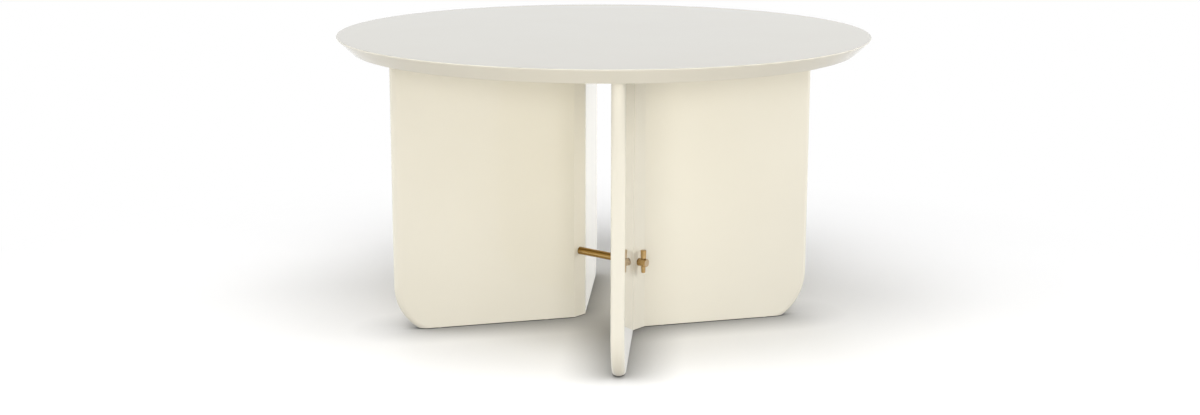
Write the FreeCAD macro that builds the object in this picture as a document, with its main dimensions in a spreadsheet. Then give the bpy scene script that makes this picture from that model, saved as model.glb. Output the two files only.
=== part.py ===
import FreeCAD, Part
import os
import re
from typing import Callable, NamedTuple

import Sketcher
from FreeCAD import Placement, Rotation, Vector

# Round cocktail table, millimetres, +Z up. The origin is on the floor under the middle of the top,
# and +X runs along the tie rod from the table's axis to the right leg.

SIZES: dict[str, float] = {
    # whole table
    "table_height": 459,
    "fit_clearance": 0.05,  # radial room round a screw, nail, insert or glide in its hole
    # top: flat above, bevelled all the way round below
    "top_diameter": 813,
    "top_thickness": 22,
    "bevel_run": 23.5,  # how far the bevel runs in from the sharp edge that it would make
    "nose_radius": 1,
    # posts and wings: each leg is a V in plan, with a narrow flat post at its point
    "facet_gap": 94,  # between the two posts
    "post_width": 28,
    "panel_thickness": 20,
    "wing_angle": 55,  # degrees between a wing and the tie rod
    "wing_length": 287,  # along the outer face, from the post to the rounded edge
    "corner_radius": 85,  # lower outer corner of a wing
    "corner_cut": 15,  # how much of that round the bottom edge cuts away
    "bullnose_land": 0.1,  # flat left in the middle of the rounded edge
    # loose spline between a wing and its post
    "spline_thickness": 6,
    "spline_width": 12,
    "spline_margin": 25,
    "spline_clearance": 0.1,
    # tie rod and the taper pins through its ends
    "rod_diameter": 12,
    "rod_height": 108,
    "rod_clearance": 0.1,
    "rod_chamfer": 0.6,
    "rod_end_wall": 2.15,  # rod left beyond the pin
    "pin_gap": 3.75,  # between the post and the pin
    "pin_top_diameter": 9.1,
    "pin_foot_diameter": 6.3,
    "pin_above": 14,  # above the rod
    "pin_below": 10,  # below the rod
    "pin_clearance": 0.03,
    "pin_top_round": 1.3,
    "pin_foot_round": 0.7,
    # angle brackets that hold the top
    "bracket_place": 110,  # along the wing, from the post
    "bracket_leg": 30,
    "bracket_width": 36,
    "bracket_thickness": 3,
    "bracket_bend": 3,
    "bracket_hole_drop": 18,  # from the bracket's back to its holes
    "bracket_hole_spacing": 20,
    "bracket_hole_clearance": 0.25,
    # wood screws from the brackets into the wings
    "wood_screw_diameter": 4,
    "wood_screw_length": 16,
    "wood_screw_point": 4,
    "wood_screw_head": 8,
    "wood_screw_head_height": 2.6,
    "wood_screw_drive": 2,
    # machine screws from the brackets into threaded inserts in the top
    "bolt_diameter": 6,
    "bolt_head": 11,
    "bolt_head_height": 3.5,
    "bolt_drive": 2.3,
    "bolt_short": 1,  # from the end of the bolt to the end of the insert
    "drive_depth": 1.6,
    "head_round": 0.8,
    "insert_diameter": 9,
    "insert_length": 13,
    "insert_gap": 1,  # room past the end of the insert
    # glides let into the bottom edges of the wings
    "glide_diameter": 15,
    "glide_thickness": 3,
    "glide_stand": 1,  # how far the wings stand off the floor
    "glide_round": 0.5,
    "glide_near": 45,  # from the post
    "glide_inset": 33,  # from the outer end of the flat bottom edge
    "nail_diameter": 2.2,
    "nail_length": 16,
    "nail_point": 4,
    "nail_head": 5,
    "nail_head_height": 1,
    "nail_sink": 0.6,  # from the floor to the nail's head
}

# Lengths that follow from the sizes
UNDERSIDE = "(table_height - top_thickness)"
BEVEL_ANGLE = "atan(top_thickness / bevel_run)"
SHARP_RADIUS = f"(top_diameter / 2 + nose_radius * (1 / tan({BEVEL_ANGLE} / 2) - 1))"
POST_DEPTH = "(panel_thickness / sin(wing_angle))"
INNER_FACET = f"(facet_gap / 2 + {POST_DEPTH})"
CORNER_HEIGHT = "(glide_stand + corner_radius - corner_cut)"
FLAT_END = "(wing_length - corner_radius + sqrt(corner_radius ^ 2 - (corner_radius - corner_cut) ^ 2))"
SPLINE_FOOT = "(rod_height + rod_diameter / 2 + spline_margin)"
SPLINE_LENGTH = f"({UNDERSIDE} - spline_margin - {SPLINE_FOOT})"
PIN_PLACE = f"({INNER_FACET} + pin_gap + pin_top_diameter / 2)"
PIN_FOOT = "(rod_height - rod_diameter / 2 - pin_below)"
PIN_LENGTH = "(pin_above + rod_diameter + pin_below)"
ROD_HALF_LENGTH = f"({PIN_PLACE} + pin_top_diameter / 2 + rod_end_wall)"
BOLT_LENGTH = "(bracket_thickness + insert_length - bolt_short)"
NAIL_SEAT = "(nail_sink + nail_head_height)"
BRACKET_HOLES = [f"(bracket_place + {end} * bracket_hole_spacing / 2)" for end in (-1, 1)]
GLIDE_PLACES = ["glide_near", f"({FLAT_END} - glide_inset)"]

TOLERANCE = 1e-4
SQUARE_DRIVE, HEX_DRIVE = 4, 6
LEG_SIGNS = {"right": 1, "left": -1}


class Wing(NamedTuple):
    """A wing of a leg: sign is its leg's end of the tie rod, side its side of that rod."""

    name: str
    leg: str
    side: int

    @property
    def sign(self) -> int:
        return LEG_SIGNS[self.leg]

    def across(self, depth: str) -> str:
        """Local y of a point at a depth behind the wing's outer face."""
        return f"{-self.side} * ({depth})"

    def spot(self, along: str, depth: str) -> tuple[str, str]:
        """Table x and y of a point along the wing, at a depth behind its outer face."""
        x = f"facet_gap / 2 + {along} * cos(wing_angle) + ({depth}) * sin(wing_angle)"
        y = f"post_width / 2 + {along} * sin(wing_angle) - ({depth}) * cos(wing_angle)"
        return f"{self.sign} * ({x})", f"{self.sign * self.side} * ({y})"

    def inward(self) -> Vector:
        """Direction from the wing's outer face to its inner face."""
        y = -self.side * value("cos(wing_angle)")
        return Vector(value("sin(wing_angle)"), y, 0) * self.sign


WINGS = [
    Wing("right_side", "right", 1),
    Wing("right_front", "right", -1),
    Wing("left_side", "left", 1),
    Wing("left_rear", "left", -1),
]

doc = FreeCAD.newDocument("CocktailTable")
sheet = doc.addObject("Spreadsheet::Sheet", "Sizes")
for row, (alias, number) in enumerate(SIZES.items(), 1):
    sheet.set(f"A{row}", alias)
    sheet.set(f"B{row}", str(number))
    sheet.setAlias(f"B{row}", alias)
doc.recompute()
sub_parts: list = []


# Sheet and document


def linked(expression: str) -> str:
    """The expression with each size's name pointing at its cell in the sheet."""
    return re.sub("[a-z_]+", lambda word: f"Sizes.{word[0]}" if word[0] in SIZES else word[0], expression)


def value(expression: str) -> float:
    """The number that an expression of the sizes gives now."""
    result = sheet.evalExpression(expression)
    return float(getattr(result, "Value", result))


def new_body(label: str, kept: bool = True):
    """An empty body, kept as a sub-part unless it is only the pattern for a group."""
    body = doc.addObject("PartDesign::Body", label.title().replace("_", ""))
    body.Label = label
    if kept:
        sub_parts.append(body)
    return body


def place(item, x: str, y: str, z: str, turn: str) -> None:
    """Put an object at a point of the table, turned about the vertical."""
    item.Placement = Placement(Vector(), Rotation(Vector(0, 0, 1), 0))
    for path, expression in (("Base.x", x), ("Base.y", y), ("Base.z", z), ("Rotation.Angle", turn)):
        item.setExpression(f"Placement.{path}", linked(expression))


def place_on_leg(item, leg: str) -> None:
    """Put an object that is drawn at the right leg on its own leg."""
    place(item, "0", "0", "0", "0" if leg == "right" else "180")


def place_on_wing(item, wing: Wing) -> None:
    """Put an object that is drawn along +X on its wing."""
    x = f"{wing.sign} * facet_gap / 2"
    y = f"{wing.sign * wing.side} * post_width / 2"
    half_turn = 0 if wing.sign > 0 else 180
    place(item, x, y, "0", f"{wing.side} * wing_angle + {half_turn}")


# Sketches and features


def new_sketch(body, name: str, role: str, offset: str = "0"):
    """An empty sketch on one of the body's own planes, moved along the plane's normal."""
    sketch = body.newObject("Sketcher::SketchObject", name)
    plane = next(item for item in body.Origin.OriginFeatures if item.Role == role)
    sketch.AttachmentSupport = [(plane, "")]
    sketch.MapMode = "FlatFace"
    sketch.setExpression("AttachmentOffset.Base.z", linked(offset))
    return sketch


def hold(sketch, geometry: int, point: int, x: str, y: str) -> None:
    """Hold one point of a sketch where two expressions say."""
    for kind, expression in (("DistanceX", x), ("DistanceY", y)):
        number = value(expression)
        index = sketch.addConstraint(Sketcher.Constraint(kind, -1, 1, geometry, point, number))
        sketch.setExpression(f"Constraints[{index}]", linked(expression))


def polygon(sketch, corners: list[tuple[str, str]]) -> None:
    """A closed outline of straight lines through the corners."""
    spots = [Vector(value(x), value(y), 0) for x, y in corners]
    first = sketch.GeometryCount
    count = len(corners)
    for index, spot in enumerate(spots):
        sketch.addGeometry(Part.LineSegment(spot, spots[(index + 1) % count]))
    for index, (x, y) in enumerate(corners):
        following = first + (index + 1) % count
        sketch.addConstraint(Sketcher.Constraint("Coincident", first + index, 2, following, 1))
        hold(sketch, first + index, 1, x, y)


def rectangle(sketch, x: tuple[str, str], y: tuple[str, str]) -> None:
    """A rectangle between two lengths each way."""
    polygon(sketch, [(x[0], y[0]), (x[1], y[0]), (x[1], y[1]), (x[0], y[1])])


def circle(sketch, x: str, y: str, radius: str) -> None:
    """A circle about a point."""
    centre = Vector(value(x), value(y), 0)
    index = sketch.addGeometry(Part.Circle(centre, Vector(0, 0, 1), value(radius)))
    hold(sketch, index, 3, x, y)
    size = sketch.addConstraint(Sketcher.Constraint("Radius", index, value(radius)))
    sketch.setExpression(f"Constraints[{size}]", linked(radius))


def pad(body, sketch, length: str, symmetric: bool = False) -> None:
    """Raise a sketch to a solid along its normal."""
    feature = body.newObject("PartDesign::Pad", f"{sketch.Name}Pad")
    feature.Profile = sketch
    feature.SideType = "Symmetric" if symmetric else "One side"
    feature.setExpression("Length", linked(length))
    doc.recompute()


def spin(body, sketch) -> None:
    """Turn a sketch of the XZ plane about the body's Z axis."""
    feature = body.newObject("PartDesign::Revolution", f"{sketch.Name}Spin")
    feature.Profile = sketch
    feature.ReferenceAxis = (sketch, ["V_Axis"])
    feature.Angle = 360
    doc.recompute()


def cut(body, sketch, length: str = "", reverse: bool = False) -> None:
    """Cut a sketch out of the body against its normal (reverse: along it), to a length or right through."""
    volume = body.Shape.Volume
    feature = body.newObject("PartDesign::Pocket", f"{sketch.Name}Cut")
    feature.Profile = sketch
    feature.Reversed = reverse
    if length:
        feature.setExpression("Length", linked(length))
    else:
        feature.Type = "ThroughAll"
    doc.recompute()
    if body.Shape.Volume > volume - TOLERANCE:
        raise ValueError(f"{feature.Name} cuts nothing")


def ease(body, kind: str, size: str, chosen: Callable[[Part.Edge], bool]) -> None:
    """Fillet or chamfer the chosen edges of the body."""
    base = body.Tip
    edges = [f"Edge{number}" for number, edge in enumerate(base.Shape.Edges, 1) if chosen(edge)]
    feature = body.newObject(f"PartDesign::{kind}", f"{base.Name}{kind}")
    feature.Base = (base, edges)
    feature.setExpression("Radius" if kind == "Fillet" else "Size", linked(size))
    doc.recompute()


def is_ring(edge: Part.Edge, radius: str, height: str) -> bool:
    """Whether an edge is a level circle of a radius at a height."""
    if not isinstance(edge.Curve, Part.Circle):
        return False
    level = edge.BoundBox.ZLength < TOLERANCE and abs(edge.BoundBox.ZMin - value(height)) < TOLERANCE
    return level and abs(edge.Curve.Radius - value(radius)) < TOLERANCE


def is_line(edge: Part.Edge, axis: str, **places: float) -> bool:
    """Whether an edge is a straight line along an axis through the given places on other axes."""
    box = edge.BoundBox
    straight = isinstance(edge.Curve, Part.Line) and getattr(box, f"{axis}Length") > edge.Length - TOLERANCE
    ends = [getattr(box, f"{name}{end}") - spot for name, spot in places.items() for end in ("Min", "Max")]
    return straight and all(abs(end) < TOLERANCE for end in ends)


def group(label: str, pattern, placements: list[Placement]) -> None:
    """A sub-part of equal loose pieces, one at each placement."""
    feature = doc.addObject("Part::Feature", label.title().replace("_", ""))
    feature.Label = label
    feature.Shape = Part.makeCompound([pattern.Shape.transformed(spot.Matrix) for spot in placements])
    feature.Placement = Placement()
    sub_parts.append(feature)


# Top


def make_top() -> None:
    """Round top with its bevel, rounded nose and the blind holes for the threaded inserts."""
    body = new_body("table_top")
    profile = new_sketch(body, "TopProfile", "XZ_Plane")
    polygon(profile, [
        ("0", UNDERSIDE),
        (f"{SHARP_RADIUS} - bevel_run", UNDERSIDE),
        (SHARP_RADIUS, "table_height"),
        ("0", "table_height"),
    ])
    spin(body, profile)
    ease(body, "Fillet", "nose_radius", lambda edge: is_ring(edge, SHARP_RADIUS, "table_height"))
    holes = new_sketch(body, "InsertHoles", "XY_Plane", UNDERSIDE)
    for wing in WINGS:
        for along in BRACKET_HOLES:
            x, y = wing.spot(along, "panel_thickness + bracket_hole_drop")
            circle(holes, x, y, "insert_diameter / 2 + fit_clearance")
    cut(body, holes, "insert_length + insert_gap", reverse=True)


# Legs


def make_post(leg: str) -> None:
    """Post at the point of a leg, with the rod's hole and a groove each side for the splines."""
    body = new_body(f"{leg}_post")
    plan = new_sketch(body, "PostPlan", "XY_Plane", "glide_stand")
    rectangle(plan, ("facet_gap / 2", INNER_FACET), ("-post_width / 2", "post_width / 2"))
    pad(body, plan, f"{UNDERSIDE} - glide_stand")
    hole = new_sketch(body, "RodHole", "YZ_Plane")
    circle(hole, "0", "rod_height", "rod_diameter / 2 + rod_clearance")
    cut(body, hole, reverse=True)
    middle = f"facet_gap / 2 + {POST_DEPTH} / 2"
    half = "(spline_thickness / 2 + spline_clearance)"
    between = "(post_width - spline_width - 2 * spline_clearance)"
    for side in (-1, 1):
        groove = new_sketch(body, "PostGroove", "XY_Plane", f"{SPLINE_FOOT} - spline_clearance")
        depth = (f"{side} * {between} / 2", f"{side} * post_width / 2")
        rectangle(groove, (f"{middle} - {half}", f"{middle} + {half}"), depth)
        cut(body, groove, f"{SPLINE_LENGTH} + 2 * spline_clearance", reverse=True)
    place_on_leg(body, leg)


def cut_corner(body, wing: Wing) -> None:
    """Round off the lower outer corner of a wing with an arc that the bottom edge cuts short."""
    waste = new_sketch(body, "CornerWaste", "XZ_Plane")
    foot = Vector(value(FLAT_END), value("glide_stand"), 0)
    tip = Vector(value("wing_length"), value("glide_stand"), 0)
    side = Vector(value("wing_length"), value(CORNER_HEIGHT), 0)
    centre = Vector(value("wing_length - corner_radius"), value(CORNER_HEIGHT), 0)
    round_edge = Part.Circle(centre, Vector(0, 0, 1), value("corner_radius"))
    bottom = waste.addGeometry(Part.LineSegment(foot, tip))
    upright = waste.addGeometry(Part.LineSegment(tip, side))
    start, end = round_edge.parameter(foot), round_edge.parameter(side)
    arc = waste.addGeometry(Part.ArcOfCircle(round_edge, start, end))
    for pair in ((bottom, 2, upright, 1), (upright, 2, arc, 2), (arc, 1, bottom, 1)):
        waste.addConstraint(Sketcher.Constraint("Coincident", *pair))
    waste.addConstraint(Sketcher.Constraint("Horizontal", bottom))
    hold(waste, upright, 1, "wing_length", "glide_stand")
    hold(waste, upright, 2, "wing_length", CORNER_HEIGHT)
    hold(waste, arc, 3, "wing_length - corner_radius", CORNER_HEIGHT)
    cut(body, waste, reverse=wing.side > 0)


def make_wing(wing: Wing) -> None:
    """Flat panel with a bevel-cut end at the post, a rounded lower corner and a bullnosed outer edge."""
    body = new_body(f"{wing.name}_wing")
    inner = wing.across("panel_thickness")
    plan = new_sketch(body, "WingPlan", "XY_Plane", "glide_stand")
    polygon(plan, [
        ("0", "0"),
        ("wing_length", "0"),
        ("wing_length", inner),
        ("panel_thickness / tan(wing_angle)", inner),
    ])
    pad(body, plan, f"{UNDERSIDE} - glide_stand")
    cut_corner(body, wing)
    ease(body, "Fillet", "(panel_thickness - bullnose_land) / 2",
         lambda edge: is_line(edge, "Z", X=value("wing_length")))
    cut_spline_groove(body, wing)
    cut_screw_holes(body, wing)
    cut_glide_seats(body, wing)
    place_on_wing(body, wing)


def cut_spline_groove(body, wing: Wing) -> None:
    """Stopped groove in the wing's bevel-cut end, square to the joint."""
    groove = new_sketch(body, "WingGroove", "XY_Plane", f"{SPLINE_FOOT} - spline_clearance")
    corners = []
    for end, depth in ((-1, -1), (1, -1), (1, 1), (-1, 1)):
        along_joint = f"({POST_DEPTH} / 2 + {end} * (spline_thickness / 2 + spline_clearance))"
        into_wing = f"{depth} * (spline_width / 2 + spline_clearance)"
        u = f"{along_joint} * cos(wing_angle) + {into_wing} * sin(wing_angle)"
        v = f"{along_joint} * sin(wing_angle) - {into_wing} * cos(wing_angle)"
        corners.append((u, wing.across(v)))
    polygon(groove, corners)
    cut(body, groove, f"{SPLINE_LENGTH} + 2 * spline_clearance", reverse=True)


def cut_screw_holes(body, wing: Wing) -> None:
    """Holes in the wing's inner face for the bracket's screws."""
    holes = new_sketch(body, "ScrewHoles", "XZ_Plane", f"{wing.side} * panel_thickness")
    for along in BRACKET_HOLES:
        circle(holes, along, f"{UNDERSIDE} - bracket_hole_drop", "wood_screw_diameter / 2 + fit_clearance")
    cut(body, holes, "wood_screw_length - bracket_thickness + fit_clearance", reverse=wing.side < 0)


def cut_glide_seats(body, wing: Wing) -> None:
    """Recesses in the wing's bottom edge for the glides, each with a hole for its nail."""
    middle = wing.across("panel_thickness / 2")
    seats = new_sketch(body, "GlideSeats", "XY_Plane", "glide_stand")
    nails = new_sketch(body, "NailHoles", "XY_Plane", "glide_thickness")
    for along in GLIDE_PLACES:
        circle(seats, along, middle, "glide_diameter / 2 + fit_clearance")
        circle(nails, along, middle, "nail_diameter / 2 + fit_clearance")
    cut(body, seats, "glide_thickness - glide_stand", reverse=True)
    cut(body, nails, f"{NAIL_SEAT} + nail_length + fit_clearance - glide_thickness", reverse=True)


def make_spline(wing: Wing) -> None:
    """Loose spline across the joint between a wing and its post."""
    box = doc.addObject("Part::Box", f"{wing.name.title().replace('_', '')}Spline")
    box.Label = f"{wing.name}_spline"
    box.setExpression("Length", linked("spline_thickness"))
    box.setExpression("Width", linked("spline_width"))
    box.setExpression("Height", linked(SPLINE_LENGTH))
    x = f"{wing.sign} * (facet_gap / 2 + {POST_DEPTH} / 2 - spline_thickness / 2)"
    y = f"{wing.sign} * ({wing.side} * post_width / 2 - spline_width / 2)"
    place(box, x, y, SPLINE_FOOT, "0" if wing.sign > 0 else "180")
    sub_parts.append(box)


# Tie rod and pins


def add_cone(body, kind: str, x: str, z: str, room: str) -> None:
    """Cone of the taper pin, as a solid or as a hole with room round it."""
    cone = body.newObject(f"PartDesign::{kind}Cone", f"{kind}Taper")
    cone.setExpression("Radius1", linked(f"pin_foot_diameter / 2 + {room}"))
    cone.setExpression("Radius2", linked(f"pin_top_diameter / 2 + {room}"))
    cone.setExpression("Height", linked(PIN_LENGTH))
    cone.setExpression("Placement.Base.x", linked(x))
    cone.setExpression("Placement.Base.z", linked(z))
    doc.recompute()


def make_rod() -> None:
    """Round rod through both posts, with a taper hole down through each end."""
    body = new_body("tie_rod")
    section = new_sketch(body, "RodSection", "YZ_Plane")
    circle(section, "0", "rod_height", "rod_diameter / 2")
    pad(body, section, f"2 * {ROD_HALF_LENGTH}", symmetric=True)
    ease(body, "Chamfer", "rod_chamfer", lambda edge: isinstance(edge.Curve, Part.Circle))
    for sign in LEG_SIGNS.values():
        add_cone(body, "Subtractive", f"{sign} * {PIN_PLACE}", PIN_FOOT, "pin_clearance")


def make_pin(leg: str) -> None:
    """Taper pin with eased ends, wide end up."""
    body = new_body(f"{leg}_taper_pin")
    add_cone(body, "Additive", "0", "0", "0")
    ease(body, "Fillet", "pin_top_round", lambda edge: is_ring(edge, "pin_top_diameter / 2", PIN_LENGTH))
    ease(body, "Fillet", "pin_foot_round", lambda edge: is_ring(edge, "pin_foot_diameter / 2", "0"))
    place(body, f"{LEG_SIGNS[leg]} * {PIN_PLACE}", "0", PIN_FOOT, "0")


# Brackets and their fasteners


def make_bracket(wing: Wing) -> None:
    """Bent steel angle in the corner between a wing's inner face and the top."""
    body = new_body(f"{wing.name}_bracket")
    outline = new_sketch(body, "BracketOutline", "YZ_Plane", "bracket_place")
    back = wing.across("panel_thickness")
    plate = wing.across("panel_thickness + bracket_thickness")
    reach = wing.across("panel_thickness + bracket_leg")
    foot = f"{UNDERSIDE} - bracket_leg"
    below = f"{UNDERSIDE} - bracket_thickness"
    polygon(outline, [
        (back, foot),
        (plate, foot),
        (plate, below),
        (reach, below),
        (reach, UNDERSIDE),
        (back, UNDERSIDE),
    ])
    pad(body, outline, "bracket_width", symmetric=True)
    ease(body, "Fillet", "bracket_bend",
         lambda edge: is_line(edge, "X", Y=value(plate), Z=value(below)))
    ease(body, "Fillet", "bracket_bend + bracket_thickness",
         lambda edge: is_line(edge, "X", Y=value(back), Z=value(UNDERSIDE)))
    wall_holes = new_sketch(body, "WallHoles", "XZ_Plane")
    top_holes = new_sketch(body, "TopHoles", "XY_Plane")
    for along in BRACKET_HOLES:
        circle(wall_holes, along, f"{UNDERSIDE} - bracket_hole_drop",
               "wood_screw_diameter / 2 + bracket_hole_clearance")
        circle(top_holes, along, wing.across("panel_thickness + bracket_hole_drop"),
               "bolt_diameter / 2 + bracket_hole_clearance")
    cut(body, wall_holes, reverse=wing.side > 0)
    cut(body, top_holes, reverse=True)
    place_on_wing(body, wing)


def make_screw(label: str, name: str, length: str, point: str, sides: int):
    """Pattern of a round-headed screw, its head's underside at the origin and its shank below."""
    body = new_body(label, kept=False)
    profile = new_sketch(body, "ScrewProfile", "XZ_Plane")
    polygon(profile, [
        ("0", f"{name}_head_height"),
        (f"{name}_head / 2", f"{name}_head_height"),
        (f"{name}_head / 2", "0"),
        (f"{name}_diameter / 2", "0"),
        (f"{name}_diameter / 2", f"{point} - {length}"),
        ("0", f"-{length}"),
    ])
    spin(body, profile)
    ease(body, "Fillet", "head_round", lambda edge: is_ring(edge, f"{name}_head / 2", f"{name}_head_height"))
    drive = body.newObject("PartDesign::SubtractivePrism", "Drive")
    drive.Polygon = sides
    drive.setExpression("Circumradius", linked(f"{name}_drive"))
    drive.setExpression("Height", linked("drive_depth"))
    drive.setExpression("Placement.Base.z", linked(f"{name}_head_height - drive_depth"))
    doc.recompute()
    return body


def make_insert():
    """Pattern of a threaded insert, its open end at the origin."""
    body = new_body("insert_pattern", kept=False)
    section = new_sketch(body, "InsertSection", "XY_Plane")
    circle(section, "0", "0", "insert_diameter / 2")
    circle(section, "0", "0", "bolt_diameter / 2 + fit_clearance")
    pad(body, section, "insert_length")
    return body


def make_glide():
    """Pattern of a glide, standing on the origin, with a recess for its nail's head."""
    body = new_body("glide_pattern", kept=False)
    disc = new_sketch(body, "GlideDisc", "XY_Plane")
    circle(disc, "0", "0", "glide_diameter / 2")
    circle(disc, "0", "0", "nail_diameter / 2 + fit_clearance")
    pad(body, disc, "glide_thickness")
    ease(body, "Fillet", "glide_round", lambda edge: is_ring(edge, "glide_diameter / 2", "0"))
    recess = new_sketch(body, "HeadRecess", "XY_Plane")
    circle(recess, "0", "0", "nail_head / 2 + fit_clearance")
    cut(body, recess, NAIL_SEAT, reverse=True)
    return body


def make_nail():
    """Pattern of a glide's nail, driven upwards, with the floor at the origin."""
    body = new_body("nail_pattern", kept=False)
    profile = new_sketch(body, "NailProfile", "XZ_Plane")
    polygon(profile, [
        ("0", "nail_sink"),
        ("nail_head / 2", "nail_sink"),
        ("nail_head / 2", NAIL_SEAT),
        ("nail_diameter / 2", NAIL_SEAT),
        ("nail_diameter / 2", f"{NAIL_SEAT} + nail_length - nail_point"),
        ("0", f"{NAIL_SEAT} + nail_length"),
    ])
    spin(body, profile)
    return body


def make_fasteners() -> None:
    """The screws, bolts, inserts, glides and nails, grouped by leg."""
    screw = make_screw("wood_screw_pattern", "wood_screw", "wood_screw_length", "wood_screw_point",
                       SQUARE_DRIVE)
    bolt = make_screw("bolt_pattern", "bolt", BOLT_LENGTH, "bolt_short", HEX_DRIVE)
    insert, glide, nail = make_insert(), make_glide(), make_nail()
    upright, upside_down = Rotation(), Rotation(Vector(1, 0, 0), 180)
    for leg in LEG_SIGNS:
        wings = [wing for wing in WINGS if wing.leg == leg]

        def spots(places: list[str], depth: str, height: str) -> list[tuple[Wing, Vector]]:
            """Points on both wings of the leg."""
            found = []
            for wing in wings:
                for along in places:
                    x, y = wing.spot(along, depth)
                    found.append((wing, Vector(value(x), value(y), value(height))))
            return found

        plate = "panel_thickness + bracket_thickness"
        hole = "panel_thickness + bracket_hole_drop"
        wall = spots(BRACKET_HOLES, plate, f"{UNDERSIDE} - bracket_hole_drop")
        under = spots(BRACKET_HOLES, hole, f"{UNDERSIDE} - bracket_thickness")
        ceiling = spots(BRACKET_HOLES, hole, UNDERSIDE)
        floor = spots(GLIDE_PLACES, "panel_thickness / 2", "0")
        facing = [Placement(spot, Rotation(Vector(0, 0, 1), wing.inward())) for wing, spot in wall]
        group(f"{leg}_bracket_wood_screws", screw, facing)
        group(f"{leg}_bracket_bolts", bolt, [Placement(spot, upside_down) for _, spot in under])
        group(f"{leg}_top_inserts", insert, [Placement(spot, upright) for _, spot in ceiling])
        group(f"{leg}_leg_glides", glide, [Placement(spot, upright) for _, spot in floor])
        group(f"{leg}_glide_nails", nail, [Placement(spot, upright) for _, spot in floor])


def write_parts() -> None:
    """Check every object and write each sub-part to its own file."""
    doc.recompute()
    for item in doc.Objects:
        if {"Invalid", "Error"} & set(item.State):
            raise RuntimeError(f"{item.Label} failed: {item.State}")
    for item in sub_parts:
        if item.Shape.isNull() or not item.Shape.isValid():
            raise RuntimeError(f"{item.Label} has no sound shape")
    os.makedirs("parts", exist_ok=True)
    for item in sub_parts:
        item.Shape.exportStep(f"parts/{item.Label}.step")
        print(f"{item.Label}: {len(item.Shape.Solids)} solids, {item.Shape.Volume / 1000:.2f} cm3")


make_top()
for leg_name in LEG_SIGNS:
    make_post(leg_name)
for each_wing in WINGS:
    make_wing(each_wing)
    make_spline(each_wing)
    make_bracket(each_wing)
make_rod()
for leg_name in LEG_SIGNS:
    make_pin(leg_name)
make_fasteners()
write_parts()
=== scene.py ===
"""Looks of a round cocktail table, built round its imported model.

A thin round top with a bevelled underside stands on two V legs of lacquered panel. A brass rod ties the
legs together low down, and a taper pin through each end of the rod keeps it in place. Sizes are in metres.
"""

import logging
import math
from dataclasses import dataclass
from enum import Enum
from functools import cache
from typing import Protocol

import bmesh
import bpy
from mathutils import Matrix, Vector


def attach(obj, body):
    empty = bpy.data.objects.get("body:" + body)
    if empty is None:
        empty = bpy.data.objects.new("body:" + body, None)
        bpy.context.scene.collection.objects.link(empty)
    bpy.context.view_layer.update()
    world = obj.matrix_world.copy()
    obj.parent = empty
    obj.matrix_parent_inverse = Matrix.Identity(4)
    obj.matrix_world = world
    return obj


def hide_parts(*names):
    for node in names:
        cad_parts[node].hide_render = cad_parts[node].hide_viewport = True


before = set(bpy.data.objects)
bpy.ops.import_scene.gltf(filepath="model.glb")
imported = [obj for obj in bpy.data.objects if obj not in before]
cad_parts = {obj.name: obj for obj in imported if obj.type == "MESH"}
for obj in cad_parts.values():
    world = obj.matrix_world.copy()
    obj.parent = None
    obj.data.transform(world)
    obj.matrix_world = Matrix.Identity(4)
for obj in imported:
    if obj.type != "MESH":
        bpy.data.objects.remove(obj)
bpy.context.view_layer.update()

LOG = logging.getLogger("cocktail_table")
ORIGIN = Vector((0.0, 0.0, 0.0))
AXIS_X = Vector((1.0, 0.0, 0.0))
AXIS_Y = Vector((0.0, 1.0, 0.0))
AXIS_Z = Vector((0.0, 0.0, 1.0))
FULL_TURN = 2 * math.pi
QUARTER_TURN = math.pi / 2
NEAR = 1e-6  # points closer than this are one
SQUARE_ON = 0.9999  # a face's normal is along an axis from here on
CREASE = math.radians(32)  # edges that turn more than this stay sharp
ROD_RADIUS = 0.006
ROD_HEIGHT = 0.108
WHITE = (1.0, 1.0, 1.0, 1.0)
Colour = tuple[float, float, float]
Point = tuple[float, float, float]
Span = tuple[float, float]


# Shader building


class Value:
    """A shader value: Python's operators on it add Math nodes."""

    def __init__(self, shader: "Shader", socket: bpy.types.NodeSocket) -> None:
        """Keeps the socket and the shader that it belongs to."""
        self.shader = shader
        self.socket = socket

    def math(self, operation: str, *terms: "Value | float") -> "Value":
        """Adds one Math node.

        Args:
            operation: The Math node's operation.
            terms: Its inputs, in order.

        Returns:
            The node's result.
        """
        return self.shader.node("ShaderNodeMath", {"operation": operation}, dict(enumerate(terms)))

    def __add__(self, other: "Value | float") -> "Value":
        """Sum of two values."""
        return self.math("ADD", self, other)

    def __radd__(self, other: float) -> "Value":
        """Sum of a number and a value."""
        return self.math("ADD", other, self)

    def __sub__(self, other: "Value | float") -> "Value":
        """Difference of two values."""
        return self.math("SUBTRACT", self, other)

    def __rsub__(self, other: float) -> "Value":
        """Number less a value."""
        return self.math("SUBTRACT", other, self)

    def __mul__(self, other: "Value | float") -> "Value":
        """Product of two values."""
        return self.math("MULTIPLY", self, other)

    def __rmul__(self, other: float) -> "Value":
        """Product of a number and a value."""
        return self.math("MULTIPLY", other, self)

    def __pow__(self, power: float) -> "Value":
        """Value to a power."""
        return self.math("POWER", self, power)

    def __abs__(self) -> "Value":
        """Value without its sign."""
        return self.math("ABSOLUTE", self)

    def top(self, other: "Value | float") -> "Value":
        """The larger of two values."""
        return self.math("MAXIMUM", self, other)

    def step(self, low: float, high: float) -> "Value":
        """Smooth step from 0 at low to 1 at high."""
        inputs = {"Value": self, "From Min": low, "From Max": high}
        return self.shader.node("ShaderNodeMapRange", {"interpolation_type": "SMOOTHSTEP"}, inputs)


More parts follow.
